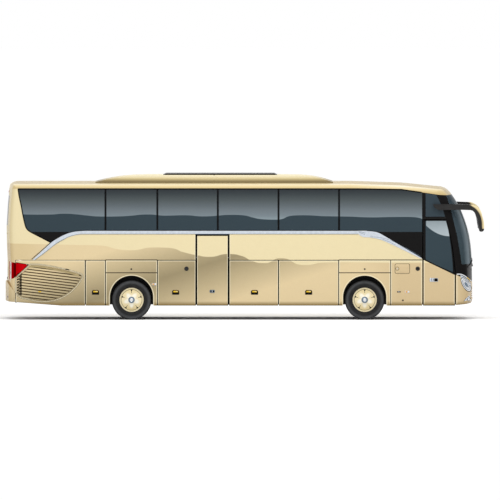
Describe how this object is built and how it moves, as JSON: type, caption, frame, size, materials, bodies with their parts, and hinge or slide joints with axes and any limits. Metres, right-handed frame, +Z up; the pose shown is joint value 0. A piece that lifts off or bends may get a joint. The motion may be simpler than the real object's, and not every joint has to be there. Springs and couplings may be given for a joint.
{
  "type": "coach bus",
  "caption": "High-deck touring coach with steered front wheels, twin rear wheels, outward-swinging doors, top-hinged luggage and engine flaps and a glazed saloon of seats",
  "frame": {"origin": "On the ground, on the centre line, midway between the rear bumper's face and the mirrors' front edge", "axes": "+X forward, +Y to the coach's left, +Z up"},
  "size_m": [12.5775, 2.74, 3.8218],
  "materials": {
    "paint": "gloss",
    "roof_paint": "gloss",
    "black_panel": "gloss",
    "black_plastic": "satin",
    "grey_plastic": "matte",
    "tinted_glass": "polished",
    "clear_glass": "polished",
    "lamp_glass": "polished",
    "red_lens": "gloss",
    "bright_trim": "polished",
    "frame_steel": "satin",
    "axle_iron": "cast",
    "rubber": "matte",
    "tyre": "matte",
    "wheel_paint": "satin",
    "floor_covering": "matte",
    "seat_fabric": "woven"
  },
  "bodies": {
    "coach_body": {"chassis_frame": "frame_steel", "cabin_floor": "floor_covering", "luggage_bay": "frame_steel", "side_wall_right": "paint", "side_wall_left": "paint", "roof": "roof_paint", "rear_wall": "paint", "rear_bumper": "paint", "rear_window": "tinted_glass", "front_bumper": "paint", "front_mask": "black_panel", "front_frame": "black_panel", "windscreen": "clear_glass", "side_windows_right": "tinted_glass", "side_windows_left": "tinted_glass", "belt_trim": "bright_trim", "headlamps": "lamp_glass", "fog_lamps": "lamp_glass", "tail_lamps": "red_lens", "roof_pod": "roof_paint", "roof_pod_hatch": "black_panel", "mirrors": "black_plastic", "wheel_houses": "black_plastic", "front_axle": "axle_iron", "rear_axle": "axle_iron", "air_springs": "rubber", "engine": "axle_iron", "dashboard": "black_plastic", "driver_seat": "seat_fabric", "passenger_benches": "seat_fabric", "luggage_racks": "grey_plastic"},
    "steering_arm_right": {"knuckle_right": "axle_iron"},
    "front_wheel_right": {"front_tyre_right": "tyre", "front_rim_right": "wheel_paint"},
    "rear_wheels_right": {"rear_tyres_right": "tyre", "rear_rims_right": "wheel_paint"},
    "steering_arm_left": {"knuckle_left": "axle_iron"},
    "front_wheel_left": {"front_tyre_left": "tyre", "front_rim_left": "wheel_paint"},
    "rear_wheels_left": {"rear_tyres_left": "tyre", "rear_rims_left": "wheel_paint"},
    "steering_column": {"steering_wheel": "black_plastic"},
    "front_door_swing": {"front_door_arm": "black_plastic"},
    "front_door_leaf": {"front_door": "paint", "front_door_glass": "tinted_glass"},
    "mid_door_swing": {"mid_door_arm": "black_plastic"},
    "mid_door_leaf": {"mid_door": "paint"},
    "bay_flap_right_1_panel": {"bay_flap_right_1": "paint"},
    "bay_flap_right_2_panel": {"bay_flap_right_2": "paint"},
    "bay_flap_right_3_panel": {"bay_flap_right_3": "paint"},
    "service_flap_right_panel": {"service_flap_right": "paint"},
    "engine_flap_right_panel": {"engine_flap_right": "paint"},
    "bay_flap_left_1_panel": {"bay_flap_left_1": "paint"},
    "bay_flap_left_2_panel": {"bay_flap_left_2": "paint"},
    "bay_flap_left_3_panel": {"bay_flap_left_3": "paint"},
    "service_flap_left_panel": {"service_flap_left": "paint"},
    "engine_flap_left_panel": {"engine_flap_left": "paint"},
    "engine_lid_panel": {"engine_lid": "paint"}
  },
  "joints": [
    {"name": "steer_left", "type": "hinge", "parent": "coach_body", "child": "steering_arm_left", "pos_m": [3.155, 0.955, 0.522], "axis": [0, 0, 1], "range_deg": [-40, 40]},
    {"name": "steer_right", "type": "hinge", "parent": "coach_body", "child": "steering_arm_right", "pos_m": [3.155, -0.955, 0.522], "axis": [0, 0, 1], "range_deg": [-40, 40]},
    {"name": "front_wheel_right_spin", "type": "hinge", "parent": "steering_arm_right", "child": "front_wheel_right", "pos_m": [3.155, -1.05, 0.522], "axis": [0, 1, 0], "continuous": true},
    {"name": "rear_wheels_right_spin", "type": "hinge", "parent": "coach_body", "child": "rear_wheels_right", "pos_m": [-2.966, -0.91, 0.522], "axis": [0, 1, 0], "continuous": true},
    {"name": "front_wheel_left_spin", "type": "hinge", "parent": "steering_arm_left", "child": "front_wheel_left", "pos_m": [3.155, 1.05, 0.522], "axis": [0, 1, 0], "continuous": true},
    {"name": "rear_wheels_left_spin", "type": "hinge", "parent": "coach_body", "child": "rear_wheels_left", "pos_m": [-2.966, 0.91, 0.522], "axis": [0, 1, 0], "continuous": true},
    {"name": "steering_wheel_turn", "type": "hinge", "parent": "coach_body", "child": "steering_column", "pos_m": [5.26, 0.64, 1.69], "axis": [-0.4695, 0, 0.8829], "range_deg": [-720, 720]},
    {"name": "front_door_open", "type": "hinge", "parent": "coach_body", "child": "front_door_swing", "pos_m": [5.42, -1.18, 1], "axis": [0, 0, -1], "range_deg": [-155, 0]},
    {"name": "front_door_stay_parallel", "type": "hinge", "parent": "front_door_swing", "child": "front_door_leaf", "pos_m": [4.983, -1.18, 1], "axis": [0, 0, -1], "range_deg": [0, 155]},
    {"name": "mid_door_open", "type": "hinge", "parent": "coach_body", "child": "mid_door_swing", "pos_m": [-0.536, -1.18, 1], "axis": [0, 0, -1], "range_deg": [-155, 0]},
    {"name": "mid_door_stay_parallel", "type": "hinge", "parent": "mid_door_swing", "child": "mid_door_leaf", "pos_m": [-0.973, -1.18, 1], "axis": [0, 0, -1], "range_deg": [0, 155]},
    {"name": "bay_flap_right_1_lift", "type": "hinge", "parent": "coach_body", "child": "bay_flap_right_1_panel", "pos_m": [-1.7825, -1.273, 1.568], "axis": [-1, 0, 0], "range_deg": [0, 95]},
    {"name": "bay_flap_right_2_lift", "type": "hinge", "parent": "coach_body", "child": "bay_flap_right_2_panel", "pos_m": [0.244, -1.273, 1.568], "axis": [-1, 0, 0], "range_deg": [0, 95]},
    {"name": "bay_flap_right_3_lift", "type": "hinge", "parent": "coach_body", "child": "bay_flap_right_3_panel", "pos_m": [1.6835, -1.273, 1.568], "axis": [-1, 0, 0], "range_deg": [0, 95]},
    {"name": "service_flap_right_lift", "type": "hinge", "parent": "coach_body", "child": "service_flap_right_panel", "pos_m": [-3.914, -1.273, 1.568], "axis": [-1, 0, 0], "range_deg": [0, 95]},
    {"name": "engine_flap_right_lift", "type": "hinge", "parent": "coach_body", "child": "engine_flap_right_panel", "pos_m": [-5.0975, -1.273, 1.568], "axis": [-1, 0, 0], "range_deg": [0, 80]},
    {"name": "bay_flap_left_1_lift", "type": "hinge", "parent": "coach_body", "child": "bay_flap_left_1_panel", "pos_m": [-1.4945, 1.273, 1.568], "axis": [1, 0, 0], "range_deg": [0, 95]},
    {"name": "bay_flap_left_2_lift", "type": "hinge", "parent": "coach_body", "child": "bay_flap_left_2_panel", "pos_m": [0.093, 1.273, 1.568], "axis": [1, 0, 0], "range_deg": [0, 95]},
    {"name": "bay_flap_left_3_lift", "type": "hinge", "parent": "coach_body", "child": "bay_flap_left_3_panel", "pos_m": [1.6805, 1.273, 1.568], "axis": [1, 0, 0], "range_deg": [0, 95]},
    {"name": "service_flap_left_lift", "type": "hinge", "parent": "coach_body", "child": "service_flap_left_panel", "pos_m": [-3.914, 1.273, 1.568], "axis": [1, 0, 0], "range_deg": [0, 95]},
    {"name": "engine_flap_left_lift", "type": "hinge", "parent": "coach_body", "child": "engine_flap_left_panel", "pos_m": [-5.0975, 1.273, 1.568], "axis": [1, 0, 0], "range_deg": [0, 80]},
    {"name": "engine_lid_lift", "type": "hinge", "parent": "coach_body", "child": "engine_lid_panel", "pos_m": [-6.256, 0, 2.254], "axis": [0, 1, 0], "range_deg": [0, 80]}
  ],
  "couplings": [
    {"joint": "steer_right", "follows": "steer_left", "ratio": 1},
    {"joint": "steering_wheel_turn", "follows": "steer_left", "ratio": 18},
    {"joint": "front_door_stay_parallel", "follows": "front_door_open", "ratio": -1},
    {"joint": "mid_door_stay_parallel", "follows": "mid_door_open", "ratio": -1}
  ]
}
